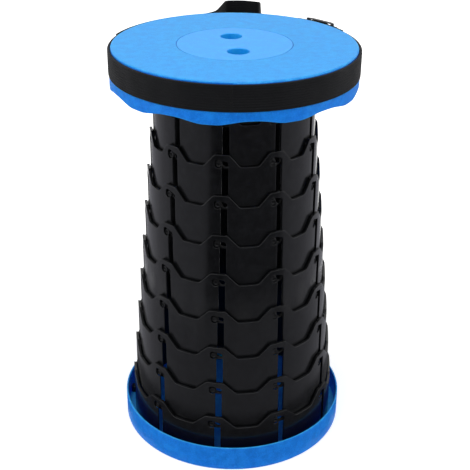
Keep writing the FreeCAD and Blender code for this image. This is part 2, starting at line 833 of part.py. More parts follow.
def strap_slider():
    """Adjuster with two windows, in which the webbing's tail passes over the centre bar."""
    half = S["slider_length"].number / 2
    height = S["slider_height"].number
    near = slider_near
    depth = S["slider_depth"].number
    bar = S["slider_bar"].number
    rail = S["slider_rail"].number
    low = (slider_middle - S["slider_height"] / 2).number
    level_half = half - S["slider_taper"].number
    end_face = near + S["slider_end"].number
    plan = [(-half, near), (half, near), (half, end_face), (level_half, near + depth),
            (-level_half, near + depth), (-half, end_face), (-half, near)]
    base = Part.Face(Part.makePolygon([Vector(x, y, low) for x, y in plan]))
    block = base.extrude(Vector(0, 0, height))
    window_width = (2 * half - 3 * bar) / 2
    for side in (-1, 1):
        middle = side * (bar + window_width) / 2
        window = Part.makeBox(window_width, depth, height - 2 * rail,
                              Vector(middle - window_width / 2, near, low + rail))
        block = block.cut(window)
    trim = S["bar_drop"].number
    notch = Part.makeBox(bar, trim, height - 2 * rail,
                         Vector(-bar / 2, near + depth - trim, low + rail))
    made = doc.addObject("Part::Feature", "strap_slider")
    made.Label = "strap_slider"
    made.Shape = block.cut(notch)
    turn = S["slider_direction"].number - 90
    made.Placement = Placement(Vector(0, 0, 0), Rotation(Vector(0, 0, 1), turn))


# The slider is flat and stands clear of the tail, which lies on the round handle
slider_middle = strap_low + S["strap_width"] / 2 - S["slider_drop"]
tail_middle = (handle_outer + S["strap_gap"] + S["strap_thickness"] / 2).number
slider_near = (handle_outer + S["strap_gap"] + S["strap_thickness"] + S["slider_gap"]).number


def strap_tail():
    """End of the webbing, threaded through the slider and over its centre bar."""
    level = (slider_middle - S["strap_width"] / 2).number
    half = S["slider_length"].number / 2
    bar = S["slider_bar"].number
    over = slider_near + S["slider_depth"].number - S["bar_drop"].number
    over += S["slider_gap"].number + S["strap_thickness"].number / 2
    outer_run = half + S["tail_run"].number
    crown = bar / 2 + S["tail_crown"].number
    shoulder = bar / 2 + S["tail_slope"].number
    points = [slider_frame(-outer_run, tail_middle), slider_frame(-shoulder, tail_middle),
              slider_frame(-crown, over), slider_frame(crown, over),
              slider_frame(shoulder, tail_middle), slider_frame(outer_run, tail_middle)]
    points = [Vector(p.x, p.y, level) for p in points]
    bend = S["tail_round"].number
    path = Part.Wire(rounded_path(points, [bend, bend, bend, bend]))
    webbing("strap_tail", path, points[0], level)


def build():
    tray()
    feet()
    screws("base_screws", S["head_sink"], pin_direction(RING_COUNT) + lug_angle,
           base_screw_circle, ground_ring_level - S["head_sink"])
    ground_ring()
    for number in range(RING_COUNT - 1, 1, -1):
        moving_ring(number)
    inner_ring()
    lug_low = seat_level - S["seat_plate"] - S["boss_depth"] - S["inner_lug_rise"]
    screws("seat_screws", lug_low, pin_direction(1), seat_screw_circle, S["inner_lug_rise"])
    seat_top()
    seat_cap()
    strap_belt()
    strap_handle()
    strap_slider()
    strap_tail()
    doc.recompute()


def check_and_write():
    failed = [o.Name for o in doc.Objects if "Invalid" in o.State or "Error" in o.State]
    if failed:
        raise RuntimeError("failed objects: " + ", ".join(failed))
    subs = [o for o in doc.Objects if o.isDerivedFrom("PartDesign::Body")
            or o.TypeId == "Part::Feature"]
    for sub in subs:
        if sub.Shape.isNull() or not sub.Shape.isValid():
            raise RuntimeError("bad shape: " + sub.Label)
    os.makedirs("parts", exist_ok=True)
    for sub in subs:
        sub.Shape.exportStep("parts/%s.step" % sub.Label)
        bounds = sub.Shape.BoundBox
        print("%-14s solids %2d  volume %9.0f  z %7.2f to %7.2f" % (
            sub.Label, len(sub.Shape.Solids), sub.Shape.Volume, bounds.ZMin, bounds.ZMax))
    travel = (RING_COUNT - 2) * S["ring_drop"].number
    seat_drop = (seat_level - S["skirt_depth"] - S["tray_height"] - S["fold_gap"]).number - travel
    print("seat drop %.3f, seat level %.3f" % (seat_drop, seat_level.number))


build()
check_and_write()
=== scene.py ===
"""Looks of a collapsible telescopic stool: its plastics, webbing, screws and feet."""
import math

import bmesh
import bpy
from mathutils import Matrix, Vector


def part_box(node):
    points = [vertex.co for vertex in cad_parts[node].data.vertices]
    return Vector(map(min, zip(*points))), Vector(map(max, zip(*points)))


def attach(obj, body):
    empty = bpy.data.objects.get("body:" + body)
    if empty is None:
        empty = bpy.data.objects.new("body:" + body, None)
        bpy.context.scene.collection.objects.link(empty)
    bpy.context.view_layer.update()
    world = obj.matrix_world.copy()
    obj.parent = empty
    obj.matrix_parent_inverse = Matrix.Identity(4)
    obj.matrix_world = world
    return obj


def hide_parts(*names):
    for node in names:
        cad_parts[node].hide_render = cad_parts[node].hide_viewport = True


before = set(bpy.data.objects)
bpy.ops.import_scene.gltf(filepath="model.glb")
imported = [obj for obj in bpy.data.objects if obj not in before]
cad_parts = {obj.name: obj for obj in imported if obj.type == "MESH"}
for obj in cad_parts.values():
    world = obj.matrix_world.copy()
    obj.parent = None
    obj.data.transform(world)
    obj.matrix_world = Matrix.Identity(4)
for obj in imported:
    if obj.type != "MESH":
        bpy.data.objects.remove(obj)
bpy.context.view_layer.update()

MM = 0.001

# Sizes of the stool, as in the frame. Directions are in degrees from +X towards +Y.

RING_COUNT = 10
SEAT_RADIUS = 124.8 * MM
BELT_THICK = 3.1 * MM
STRAP_THICK = 1.9 * MM
STRAP_GAP = 0.1 * MM
STRAP_WIDTH = 26.0 * MM
STRAP_MIDDLE = 425.25 * MM               # level of the webbing's middle
TAIL_WIDTH = STRAP_WIDTH + 0.5 * MM      # the tail spreads a little in the slider's windows
RIB_SPACING = 2.5 * MM
RIB_GROOVE = 0.28 * MM
SEAM_MARGIN = 3 * MM
BELT_RADIUS = SEAT_RADIUS + STRAP_GAP + BELT_THICK / 2
LAYER_RADIUS = BELT_RADIUS + BELT_THICK / 2 + STRAP_GAP + STRAP_THICK / 2
TAIL_RADIUS = LAYER_RADIUS + STRAP_GAP + STRAP_THICK
SLIDER_MIDDLE = STRAP_MIDDLE - 0.5 * MM
SLIDER_DIRECTION = 46.0
# The second layer of webbing starts, leaves the belt for the loop, comes back and ends at these
LAYER_START, LOOP_OUT, LOOP_BACK, LAYER_END = 28, 71, 110, 163
BASE_DIRECTION = 46.6                    # of the first screw and the first foot under the tray
SCREW_HEAD = 1.6                         # height in millimetres

# Camera and room, with angles in degrees, lengths in metres and the lens in millimetres

CAMERA_PLACE = (0.00765, -0.9884, 0.7218)
CAMERA_PITCH = 26.73
CAMERA_YAW = -0.331
CAMERA_ROLL = 0.483
LENS = 76.8
SENSOR_WIDTH = 36
ROOM_LIGHT = 0.40                        # strength of the white room where it lights a surface
ROOM_SEEN = 1.0                          # and where it is seen, directly or in a gloss


def place_camera():
    """The camera stands in front of the stool and looks down on its seat."""
    pitch = math.radians(CAMERA_PITCH)
    yaw = math.radians(CAMERA_YAW)
    roll = math.radians(CAMERA_ROLL)
    ahead = Vector((
        math.sin(yaw) * math.cos(pitch),
        math.cos(yaw) * math.cos(pitch),
        -math.sin(pitch),
    ))
    level = Vector((math.cos(yaw), -math.sin(yaw), 0))
    above = level.cross(ahead)
    right = level * math.cos(roll) + above * math.sin(roll)
    up = above * math.cos(roll) - level * math.sin(roll)
    lens = bpy.data.cameras.new("camera")
    lens.lens = LENS
    lens.sensor_width = SENSOR_WIDTH
    camera = bpy.data.objects.new("camera", lens)
    bpy.context.scene.collection.objects.link(camera)
    turn = Matrix((right, up, -ahead)).transposed().to_4x4()
    camera.matrix_world = Matrix.Translation(CAMERA_PLACE) @ turn
    bpy.context.scene.camera = camera


def soft_box(name, place, aim, width, height, watts):
    """A white lamp with a rectangular face, turned towards a place and hidden from the camera."""
    light = bpy.data.lights.new(name, "AREA")
    light.shape = "RECTANGLE"
    light.size = width
    light.size_y = height
    light.energy = watts
    lamp = bpy.data.objects.new(name, light)
    bpy.context.scene.collection.objects.link(lamp)
    lamp.location = place
    lamp.visible_camera = False
    lamp.rotation_euler = (Vector(aim) - Vector(place)).to_track_quat("-Z", "Y").to_euler()


def light_room():
    """A pale floor, a white room, three soft boxes, and glowing cards on the floor in front that show
    only in gloss, as painted reflections on the rings. The picture's white comes from the room's own
    colour."""
    scene = bpy.context.scene
    scene.view_settings.view_transform = "Standard"
    lay_floor()

    world = bpy.data.worlds.new("room")
    world.use_nodes = True
    scene.world = world
    tree = world.node_tree
    level = add(tree, "ShaderNodeMapRange", {
        "Value": seen_directly(tree), "To Min": ROOM_LIGHT, "To Max": ROOM_SEEN})
    background = tree.nodes["Background"]
    tree.links.new(level.outputs[0], background.inputs["Strength"])
    background.inputs["Color"].default_value = (1, 1, 1, 1)

    seat, middle = (0, 0, 0.44), (0, 0, 0.22)
    soft_box("box_above", (-0.1, -0.35, 1.75), seat, width=1.2, height=1.2, watts=15)
    soft_box("box_left", (-1.15, -0.45, 0.62), middle, width=0.6, height=1.2, watts=3.8)
    soft_box("box_right", (1.15, -0.25, 0.62), middle, width=0.6, height=1.2, watts=3.6)

    # Glowing cards seen only in gloss: painted reflections, pale bands at the rings' sides and a dark
    # one in the middle
    front, far = (-150, 150), (0.40, 2.6)
    reflection_card("card_left", (-150, -30), far, tone=0.48)
    reflection_card("card_black", (-30, -9), far, tone=0.02)
    reflection_card("card_grey", (-9, 60), far, tone=0.12)
    reflection_card("card_right", (60, 150), far, tone=0.47)
    reflection_card("card_near", front, (0.19, 0.40), tone=0.37)
    reflection_card("card_foot", front, (0.13, 0.19), tone=0.08)


def flat_sector(name, turns, reaches, height, steps):
    """A level sheet between two directions, from -Y towards +X, and two distances from the axis."""
    first, last = turns
    points = []
    for i in range(steps + 1):
        turn = math.radians(first + (last - first) * i / steps)
        points += [(reach * math.sin(turn), -reach * math.cos(turn), height) for reach in reaches]
    faces = [(2 * i, 2 * i + 1, 2 * i + 3, 2 * i + 2) for i in range(steps)]
    mesh = bpy.data.meshes.new(name)
    mesh.from_pydata(points, [], faces)
    sheet = bpy.data.objects.new(name, mesh)
    bpy.context.scene.collection.objects.link(sheet)
    return sheet


def lay_floor():
    """A pale floor that glows white to the eye far from the stool. Near it the glow is weaker, a
    painted shade, so that the stool's shadow shows. It is open under the tray and clear from below,
    so that the stool's underside shows too."""
    opening, reach = 0.118, 6.0
    floor = flat_sector("floor", (0, 360), (opening, reach), height=-0.0004, steps=96)
    finish, tree, shader = new_finish("painted_floor_pale")
    shader.inputs["Base Color"].default_value = linear("#EDEDEC")
    shader.inputs["Roughness"].default_value = 0.9
    shader.inputs["Specular IOR Level"].default_value = 0.0
    shader.inputs["Emission Color"].default_value = (1, 1, 1, 1)
    place = add(tree, "ShaderNodeTexCoord").outputs["Object"]
    distance = add(tree, "ShaderNodeVectorMath", {0: place}, operation="LENGTH")
    # The glow is weaker near the stool: painted shade round its base
    glow_dimmed_near_stool = add(tree, "ShaderNodeMapRange", {
        "Value": distance.outputs["Value"], "From Min": 0.14, "From Max": 0.8,
        "To Min": 0.50, "To Max": 1.0})
    glow = add(tree, "ShaderNodeMath", {0: seen_directly(tree), 1: glow_dimmed_near_stool.outputs[0]},
               operation="MULTIPLY")
    tree.links.new(glow.outputs[0], shader.inputs["Emission Strength"])
    below = add(tree, "ShaderNodeNewGeometry").outputs["Backfacing"]
    clear = add(tree, "ShaderNodeBsdfTransparent")
    seen = add(tree, "ShaderNodeMixShader", {
        0: below, 1: shader.outputs[0], 2: clear.outputs[0]})
    tree.links.new(seen.outputs[0], tree.nodes["Material Output"].inputs["Surface"])
    floor.data.materials.append(finish)


def reflection_card(name, turns, reaches, tone):
    """A card that glows in a given tone, lies in front of the stool and shows only in gloss: a
    painted reflection, a pale or dark band on the black rings. The dark ones keep the pale floor off
    the black rings, as a studio's flags do."""
    card = flat_sector(name, turns, reaches, height=0.002, steps=12)
    card.visible_camera = False
    card.visible_diffuse = False
    card.visible_shadow = False
    finish, tree, shader = new_finish(name + "_painted_reflection_glow")
    shader.inputs["Base Color"].default_value = (0, 0, 0, 1)
    shader.inputs["Specular IOR Level"].default_value = 0.0
    shader.inputs["Emission Color"].default_value = linear("#F4F4FF")
    shader.inputs["Emission Strength"].default_value = tone
    card.data.materials.append(finish)


def seen_directly(tree):
    """1 for rays from the camera, a gloss or a glass, and 0 for those that light the room."""
    path = add(tree, "ShaderNodeLightPath").outputs
    first = add(tree, "ShaderNodeMath", {0: path["Is Camera Ray"], 1: path["Is Glossy Ray"]},
                operation="MAXIMUM")
    return add(tree, "ShaderNodeMath", {0: first.outputs[0], 1: path["Is Transmission Ray"]},
               operation="MAXIMUM").outputs[0]


# Helpers for materials and node trees


def linear(hex_colour):
    """An sRGB colour such as #1689EE as linear red, green, blue and alpha."""
    parts = [int(hex_colour[i:i + 2], 16) / 255 for i in (1, 3, 5)]
    return [p / 12.92 if p <= 0.04045 else ((p + 0.055) / 1.055) ** 2.4 for p in parts] + [1.0]


def add(tree, kind, inputs=None, **settings):
    """A new node with its settings. Inputs are values, or other nodes' outputs to link."""
    made = tree.nodes.new(kind)
    for name, value in settings.items():
        setattr(made, name, value)
    for key, value in (inputs or {}).items():
        if isinstance(value, bpy.types.NodeSocket):
            tree.links.new(value, made.inputs[key])
        else:
            made.inputs[key].default_value = value
    return made


def new_finish(name):
    """An empty material with its shader, for a finish to fill in."""
    finish = bpy.data.materials.new(name)
    finish.use_nodes = True
    tree = finish.node_tree
    return finish, tree, tree.nodes["Principled BSDF"]


def ramp_stops(ramp, stops):
    """Sets a colour ramp's stops from (place, colour) pairs."""
    elements = ramp.color_ramp.elements
    while len(elements) < len(stops):
        elements.new(0.5)
    for element, (place, colour) in zip(elements, stops):
        element.position = place
        element.color = linear(colour)


# Finishes


def moulded_plastic(name, colours, painted_top_tones, edge_wear_highlight_colour, roughness, gloss, grain, grain_rise,
                    edge_round, milky=0.0):
    """Injection-moulded plastic. It gives the mould's fine grain and slow shifts of tone where the
    melt cooled unevenly. Faces that look up take other tones than the walls, as painted light and
    shade from above. Edges are rounded and painted paler, as wear and as a painted highlight. A milky
    plastic lets light soak through its thin walls. The grain's width and rise and the edges' radius
    are in millimetres."""
    finish, tree, shader = new_finish(name)
    place = add(tree, "ShaderNodeTexCoord").outputs["Object"]

    # Grain of the mould, and the slow mottling of the melt, which is 9 mm wide
    fine = add(tree, "ShaderNodeTexNoise", {
        "Vector": place, "Scale": 1 / (grain * MM), "Detail": 3.0, "Roughness": 0.65})
    mottle = add(tree, "ShaderNodeTexNoise", {
        "Vector": place, "Scale": 1 / (9 * MM), "Detail": 6.0, "Roughness": 0.7})
    both = add(tree, "ShaderNodeMath", {0: fine.outputs["Fac"], 1: mottle.outputs["Fac"]},
               operation="ADD")
    tone = add(tree, "ShaderNodeMath", {0: both.outputs[0], 1: 0.5}, operation="MULTIPLY")
    stops = (0.42, 0.5, 0.58)
    # Walls take the first tones and faces that look up the second: painted light and shade by which
    # way a face looks
    painted_wall_ramp = add(tree, "ShaderNodeValToRGB", {"Fac": tone.outputs[0]})
    ramp_stops(painted_wall_ramp, list(zip(stops, colours)))
    painted_top_ramp = add(tree, "ShaderNodeValToRGB", {"Fac": tone.outputs[0]})
    ramp_stops(painted_top_ramp, list(zip(stops, painted_top_tones)))
    face = add(tree, "ShaderNodeNewGeometry")
    slope = add(tree, "ShaderNodeSeparateXYZ", {0: face.outputs["Normal"]})
    level = add(tree, "ShaderNodeMapRange", {
        "Value": slope.outputs["Z"], "From Min": 0.1, "From Max": 0.7})
    tones = add(tree, "ShaderNodeMix", {
        "Factor": level.outputs[0], "A": painted_wall_ramp.outputs["Color"], "B": painted_top_ramp.outputs["Color"]},
        data_type="RGBA")

    # Where the rounded normal leaves the face's own, there is an edge
    rounded = add(tree, "ShaderNodeBevel", {"Radius": edge_round * MM}, samples=8)
    along = add(tree, "ShaderNodeVectorMath",
                {0: rounded.outputs["Normal"], 1: face.outputs["Normal"]}, operation="DOT_PRODUCT")
    edge = add(tree, "ShaderNodeMapRange", {
        "Value": along.outputs["Value"], "From Min": 0.995, "From Max": 0.80,
        "To Min": 0.0, "To Max": 0.55})
    # Edges are painted paler in patches: partly wear, partly a painted highlight along the rims
    wear_highlight_mask = add(tree, "ShaderNodeMath", {0: edge.outputs[0], 1: mottle.outputs["Fac"]},
               operation="MULTIPLY")
    colour = add(tree, "ShaderNodeMix", {
        "Factor": wear_highlight_mask.outputs[0], "A": tones.outputs["Result"], "B": linear(edge_wear_highlight_colour)},
        data_type="RGBA")
    rough = add(tree, "ShaderNodeMapRange", {
        "Value": mottle.outputs["Fac"], "From Min": 0.3, "From Max": 0.7,
        "To Min": roughness - 0.05, "To Max": roughness + 0.05})
    bump = add(tree, "ShaderNodeBump", {
        "Height": fine.outputs["Fac"], "Distance": grain_rise * MM, "Strength": 0.6,
        "Normal": rounded.outputs["Normal"]})
    tree.links.new(colour.outputs["Result"], shader.inputs["Base Color"])
    tree.links.new(rough.outputs[0], shader.inputs["Roughness"])
    tree.links.new(bump.outputs["Normal"], shader.inputs["Normal"])
    # This lies between acetal's 1.48 and nylon's 1.53, and is polypropylene's own
    shader.inputs["IOR"].default_value = 1.49
    shader.inputs["Specular IOR Level"].default_value = gloss
    shader.inputs["Subsurface Weight"].default_value = milky
    shader.inputs["Subsurface Radius"].default_value = (0.4, 1.0, 2.0)
    shader.inputs["Subsurface Scale"].default_value = 3 * MM
    return finish


def seat_plastic():
    """Blue polypropylene of the seat and the tray, from a spark-eroded mould. It gives a matt,
    slightly milky blue."""
    # The walls are painted a darker blue and the faces that look up a lighter one: painted shade and
    # painted light from above
    return moulded_plastic(
        "polypropylene_blue_moulded", colours=("#0278E2", "#0780EE", "#1590FA"),
        painted_top_tones=("#2390E2", "#2C9BE8", "#3AA8F2"), edge_wear_highlight_colour="#3C9CF2",
        roughness=0.45, gloss=0.18, grain=0.9, grain_rise=0.08, edge_round=0.7, milky=0.4)


def cap_plastic():
    """Blue polypropylene of the cap. Its walls are painted a lighter blue than the seat's, as painted
    light in the finger holes.
    """
    return moulded_plastic(
        "polypropylene_blue_cap_moulded", colours=("#08A4FA", "#10ACFE", "#28B8FF"),
        painted_top_tones=("#1E97EE", "#26A0F6", "#3CACFA"), edge_wear_highlight_colour="#4AA6F6",
        roughness=0.45, gloss=0.5, grain=0.9, grain_rise=0.08, edge_round=0.5)


def ring_plastic():
    """Black nylon of the rings, from a polished mould. It gives a soft gloss with clear bands."""
    tones = ("#0B0B0D", "#0E0F11", "#141518")
    return moulded_plastic(
        "nylon_black_moulded", colours=tones, painted_top_tones=tones, edge_wear_highlight_colour="#33353A",
        roughness=0.20, gloss=0.36, grain=0.7, grain_rise=0.012, edge_round=0.8)


def slider_plastic():
    """Black acetal of the slider. It gives a smooth dark grey, with edges painted pale as wear and as
    a painted highlight.
    """
    tones = ("#1A1B1E", "#1E1F22", "#242529")
    return moulded_plastic(
        "acetal_black_moulded", colours=tones, painted_top_tones=tones, edge_wear_highlight_colour="#5A5C61",
        roughness=0.34, gloss=0.5, grain=0.6, grain_rise=0.04, edge_round=0.4)


def woven_webbing():
    """Polypropylene webbing, woven with thick lengthwise cords over fine cross threads. It gives
    lengthwise ribs, a fine broken sheen across them and a slight fuzz."""
    finish, tree, shader = new_finish("polypropylene_webbing_woven")
    along = add(tree, "ShaderNodeAttribute", attribute_name="along").outputs["Fac"]
    across = add(tree, "ShaderNodeAttribute", attribute_name="across").outputs["Fac"]
    # Cross threads lie 0.6 mm apart. They are drawn twice as wide, so that they show.
    thread_spacing = 1.2 * MM
    threads = add(tree, "ShaderNodeMath", {0: along, 1: 2 * math.pi / thread_spacing},
                  operation="MULTIPLY")
    cords = add(tree, "ShaderNodeMath", {0: across, 1: 2 * math.pi / RIB_SPACING},
                operation="MULTIPLY")
    turn = add(tree, "ShaderNodeMath", {0: threads.outputs[0], 1: cords.outputs[0]},
               operation="ADD")
    weave = add(tree, "ShaderNodeMath", {0: turn.outputs[0]}, operation="SINE")
    spot = add(tree, "ShaderNodeCombineXYZ", {"X": along, "Y": across})
    fuzz = add(tree, "ShaderNodeTexNoise", {
        "Vector": spot.outputs[0], "Scale": 1 / (0.8 * MM), "Detail": 3.0})
    slow = add(tree, "ShaderNodeTexNoise", {
        "Vector": spot.outputs[0], "Scale": 1 / (25 * MM), "Detail": 2.0})
    tone = add(tree, "ShaderNodeMath", {0: weave.outputs[0], 1: 0.12}, operation="MULTIPLY")
    tone = add(tree, "ShaderNodeMath", {0: tone.outputs[0], 1: fuzz.outputs["Fac"]},
               operation="ADD")
    tones = add(tree, "ShaderNodeValToRGB", {"Fac": tone.outputs[0]})
    ramp_stops(tones, [(0.3, "#060709"), (0.52, "#0B0C0F"), (0.75, "#16171C")])
    rough = add(tree, "ShaderNodeMapRange", {
        "Value": slow.outputs["Fac"], "From Min": 0.3, "From Max": 0.7,
        "To Min": 0.62, "To Max": 0.78})
    height = add(tree, "ShaderNodeMath", {0: weave.outputs[0], 1: fuzz.outputs["Fac"]},
                 operation="ADD")
    bump = add(tree, "ShaderNodeBump", {
        "Height": height.outputs[0], "Distance": 0.12 * MM, "Strength": 0.7})
    tree.links.new(tones.outputs["Color"], shader.inputs["Base Color"])
    tree.links.new(rough.outputs[0], shader.inputs["Roughness"])
    tree.links.new(bump.outputs["Normal"], shader.inputs["Normal"])
    shader.inputs["Specular IOR Level"].default_value = 0.13
    shader.inputs["Sheen Weight"].default_value = 0.04
    shader.inputs["Sheen Roughness"].default_value = 0.5
    return finish


def sewing_thread():
    """Bonded polyester thread, twisted. It gives a tight soft sheen, a little paler than webbing."""
    finish, tree, shader = new_finish("polyester_thread_twisted")
    place = add(tree, "ShaderNodeTexCoord").outputs["Object"]
    strands = add(tree, "ShaderNodeTexWave", {
        "Vector": place, "Scale": 1 / (2.4 * MM), "Distortion": 1.5, "Detail": 1.0})
    tones = add(tree, "ShaderNodeValToRGB", {"Fac": strands.outputs["Fac"]})
    ramp_stops(tones, [(0.2, "#17181B"), (0.8, "#33353B")])
    bump = add(tree, "ShaderNodeBump", {
        "Height": strands.outputs["Fac"], "Distance": 0.05 * MM, "Strength": 0.5})
    tree.links.new(tones.outputs["Color"], shader.inputs["Base Color"])
    tree.links.new(bump.outputs["Normal"], shader.inputs["Normal"])
    shader.inputs["Roughness"].default_value = 0.5
    return finish


def zinc_steel():
    """Steel screws, cold-headed and zinc-plated. They give a pale metal with soft streaks and
    darker specks where the plating is thin."""
    finish, tree, shader = new_finish("steel_zinc_plated")
    place = add(tree, "ShaderNodeTexCoord").outputs["Object"]
    streaks = add(tree, "ShaderNodeTexNoise", {
        "Vector": place, "Scale": 1 / (0.9 * MM), "Detail": 4.0, "Roughness": 0.6})
    tones = add(tree, "ShaderNodeValToRGB", {"Fac": streaks.outputs["Fac"]})
    ramp_stops(tones, [(0.35, "#9A9C9E"), (0.55, "#C3C5C6"), (0.7, "#D2D3D2")])
    rough = add(tree, "ShaderNodeMapRange", {
        "Value": streaks.outputs["Fac"], "From Min": 0.3, "From Max": 0.7,
        "To Min": 0.24, "To Max": 0.42})
    bump = add(tree, "ShaderNodeBump", {
        "Height": streaks.outputs["Fac"], "Distance": 0.03 * MM, "Strength": 0.4})
    tree.links.new(tones.outputs["Color"], shader.inputs["Base Color"])
    tree.links.new(rough.outputs[0], shader.inputs["Roughness"])
    tree.links.new(bump.outputs["Normal"], shader.inputs["Normal"])
    shader.inputs["Metallic"].default_value = 1.0
    return finish


def foot_rubber():
    """Thermoplastic rubber, moulded. It gives a dull dark grey with dusty specks."""
    finish, tree, shader = new_finish("thermoplastic_rubber_moulded")
    place = add(tree, "ShaderNodeTexCoord").outputs["Object"]
    dust = add(tree, "ShaderNodeTexNoise", {
        "Vector": place, "Scale": 1 / (0.7 * MM), "Detail": 5.0, "Roughness": 0.75})
    tones = add(tree, "ShaderNodeValToRGB", {"Fac": dust.outputs["Fac"]})
    ramp_stops(tones, [(0.4, "#17181A"), (0.6, "#232427"), (0.78, "#45464A")])
    bump = add(tree, "ShaderNodeBump", {
        "Height": dust.outputs["Fac"], "Distance": 0.06 * MM, "Strength": 0.6})
    tree.links.new(tones.outputs["Color"], shader.inputs["Base Color"])
    tree.links.new(bump.outputs["Normal"], shader.inputs["Normal"])
    shader.inputs["Roughness"].default_value = 0.82
    return finish


# Trees of geometry nodes


SOCKETS = {"geometry": "NodeSocketGeometry", "length": "NodeSocketFloat", "turn": "NodeSocketFloat",
           "count": "NodeSocketInt", "finish": "NodeSocketMaterial", "piece": "NodeSocketObject"}


def new_tree(name, given):
    """An empty geometry tree with one outlet, and the outputs of its named inputs."""
    tree = bpy.data.node_groups.new(name, "GeometryNodeTree")
    for title, kind in given:
        tree.interface.new_socket(name=title, in_out="INPUT", socket_type=SOCKETS[kind])
    tree.interface.new_socket(name="Geometry", in_out="OUTPUT", socket_type="NodeSocketGeometry")
    return tree, add(tree, "NodeGroupInput").outputs


def grow(name, tree, start, **sizes):
    """Runs a tree on an object and gives the result as a plain mesh piece. The start is removed."""
    bpy.context.scene.collection.objects.link(start)
    modifier = start.modifiers.new("made", "NODES")
    modifier.node_group = tree
    for item in tree.interface.items_tree:
        if item.in_out == "INPUT" and item.name in sizes:
            modifier[item.identifier] = sizes[item.name]
    shape = start.evaluated_get(bpy.context.evaluated_depsgraph_get())
    mesh = bpy.data.meshes.new_from_object(shape)
    mesh.name = name
    bpy.data.objects.remove(start)
    piece = bpy.data.objects.new(name, mesh)
    bpy.context.scene.collection.objects.link(piece)
    return piece


def webbing_tree():
    """A flat woven strip along a level path, on edge, with lengthwise ribs on both faces."""
    tree, given = new_tree("webbing_strip", [
        ("Path", "geometry"), ("Width", "length"), ("Thickness", "length"), ("Rib", "length"),
        ("Groove", "length"), ("Step", "length"), ("Finish", "finish")])
    path = add(tree, "GeometryNodeResampleCurve", {"Curve": given["Path"],
               "Length": given["Step"]}, mode="LENGTH")
    level = add(tree, "GeometryNodeSetCurveNormal", {"Curve": path.outputs[0]}, mode="Z_UP")
    run = add(tree, "GeometryNodeSplineParameter").outputs["Length"]
    path = add(tree, "GeometryNodeStoreNamedAttribute", {
        "Geometry": level.outputs[0], "Name": "along", "Value": run},
        data_type="FLOAT", domain="POINT")

    section = add(tree, "GeometryNodeCurvePrimitiveQuadrilateral", {
        "Width": given["Thickness"], "Height": given["Width"]})
    # The corners' radius is a share of the thickness, and a rib has six points across it
    edge = add(tree, "ShaderNodeMath", {0: given["Thickness"], 1: 0.42}, operation="MULTIPLY")
    soft = add(tree, "GeometryNodeFilletCurve", {
        "Curve": section.outputs[0], "Radius": edge.outputs[0], "Count": 4}, mode="POLY")
    part = add(tree, "ShaderNodeMath", {0: given["Rib"], 1: 0.17}, operation="MULTIPLY")
    fine = add(tree, "GeometryNodeResampleCurve", {
        "Curve": soft.outputs[0], "Length": part.outputs[0]}, mode="LENGTH")
    spot = add(tree, "ShaderNodeSeparateXYZ", {0: add(tree, "GeometryNodeInputPosition").outputs[0]})
    turns = add(tree, "ShaderNodeMath", {0: spot.outputs["Y"], 1: given["Rib"]}, operation="DIVIDE")
    angle = add(tree, "ShaderNodeMath", {0: turns.outputs[0], 1: 2 * math.pi}, operation="MULTIPLY")
    wave = add(tree, "ShaderNodeMath", {0: angle.outputs[0]}, operation="COSINE")
    sunk = add(tree, "ShaderNodeMapRange", {
        "Value": wave.outputs[0], "From Min": -1.0, "From Max": 0.2,
        "To Min": 1.0, "To Max": 0.0})
    depth = add(tree, "ShaderNodeMath", {0: sunk.outputs[0], 1: given["Groove"]},
                operation="MULTIPLY")
    side = add(tree, "ShaderNodeMath", {0: spot.outputs["X"]}, operation="SIGN")
    inward = add(tree, "ShaderNodeMath", {0: depth.outputs[0], 1: side.outputs[0]},
                 operation="MULTIPLY")
    back = add(tree, "ShaderNodeMath", {0: inward.outputs[0], 1: -1.0}, operation="MULTIPLY")
    shift = add(tree, "ShaderNodeCombineXYZ", {"X": back.outputs[0]})
    ribbed = add(tree, "GeometryNodeSetPosition", {
        "Geometry": fine.outputs[0], "Offset": shift.outputs[0]})
    ribbed = add(tree, "GeometryNodeStoreNamedAttribute", {
        "Geometry": ribbed.outputs[0], "Name": "across", "Value": spot.outputs["Y"]},
        data_type="FLOAT", domain="POINT")

    strip = add(tree, "GeometryNodeCurveToMesh", {
        "Curve": path.outputs[0], "Profile Curve": ribbed.outputs[0], "Fill Caps": True})
    smooth = add(tree, "GeometryNodeSetShadeSmooth", {"Geometry": strip.outputs[0]})
    real = add(tree, "GeometryNodeRealizeInstances", {"Geometry": smooth.outputs[0]})
    done = add(tree, "GeometryNodeSetMaterial", {
        "Geometry": real.outputs[0], "Material": given["Finish"]})
    add(tree, "NodeGroupOutput", {"Geometry": done.outputs[0]})
    return tree


def stitch_tree():
    """A row of stitches along each path, each a short thick-middled run of thread."""
    tree, given = new_tree("stitch_row", [
        ("Path", "geometry"), ("Stitch", "length"), ("Pitch", "length"), ("Thread", "length"),
        ("Finish", "finish")])
    places = add(tree, "GeometryNodeCurveToPoints", {
        "Curve": given["Path"], "Length": given["Pitch"]}, mode="LENGTH")
    bead = add(tree, "GeometryNodeMeshUVSphere", {"Segments": 8, "Rings": 6, "Radius": 0.5})
    shape = add(tree, "ShaderNodeCombineXYZ", {
        "X": given["Thread"], "Y": given["Thread"], "Z": given["Stitch"]})
    row = add(tree, "GeometryNodeInstanceOnPoints", {
        "Points": places.outputs["Points"], "Instance": bead.outputs["Mesh"],
        "Rotation": places.outputs["Rotation"], "Scale": shape.outputs[0]})
    real = add(tree, "GeometryNodeRealizeInstances", {"Geometry": row.outputs[0]})
    smooth = add(tree, "GeometryNodeSetShadeSmooth", {"Geometry": real.outputs[0]})
    done = add(tree, "GeometryNodeSetMaterial", {
        "Geometry": smooth.outputs[0], "Material": given["Finish"]})
    add(tree, "NodeGroupOutput", {"Geometry": done.outputs[0]})
    return tree


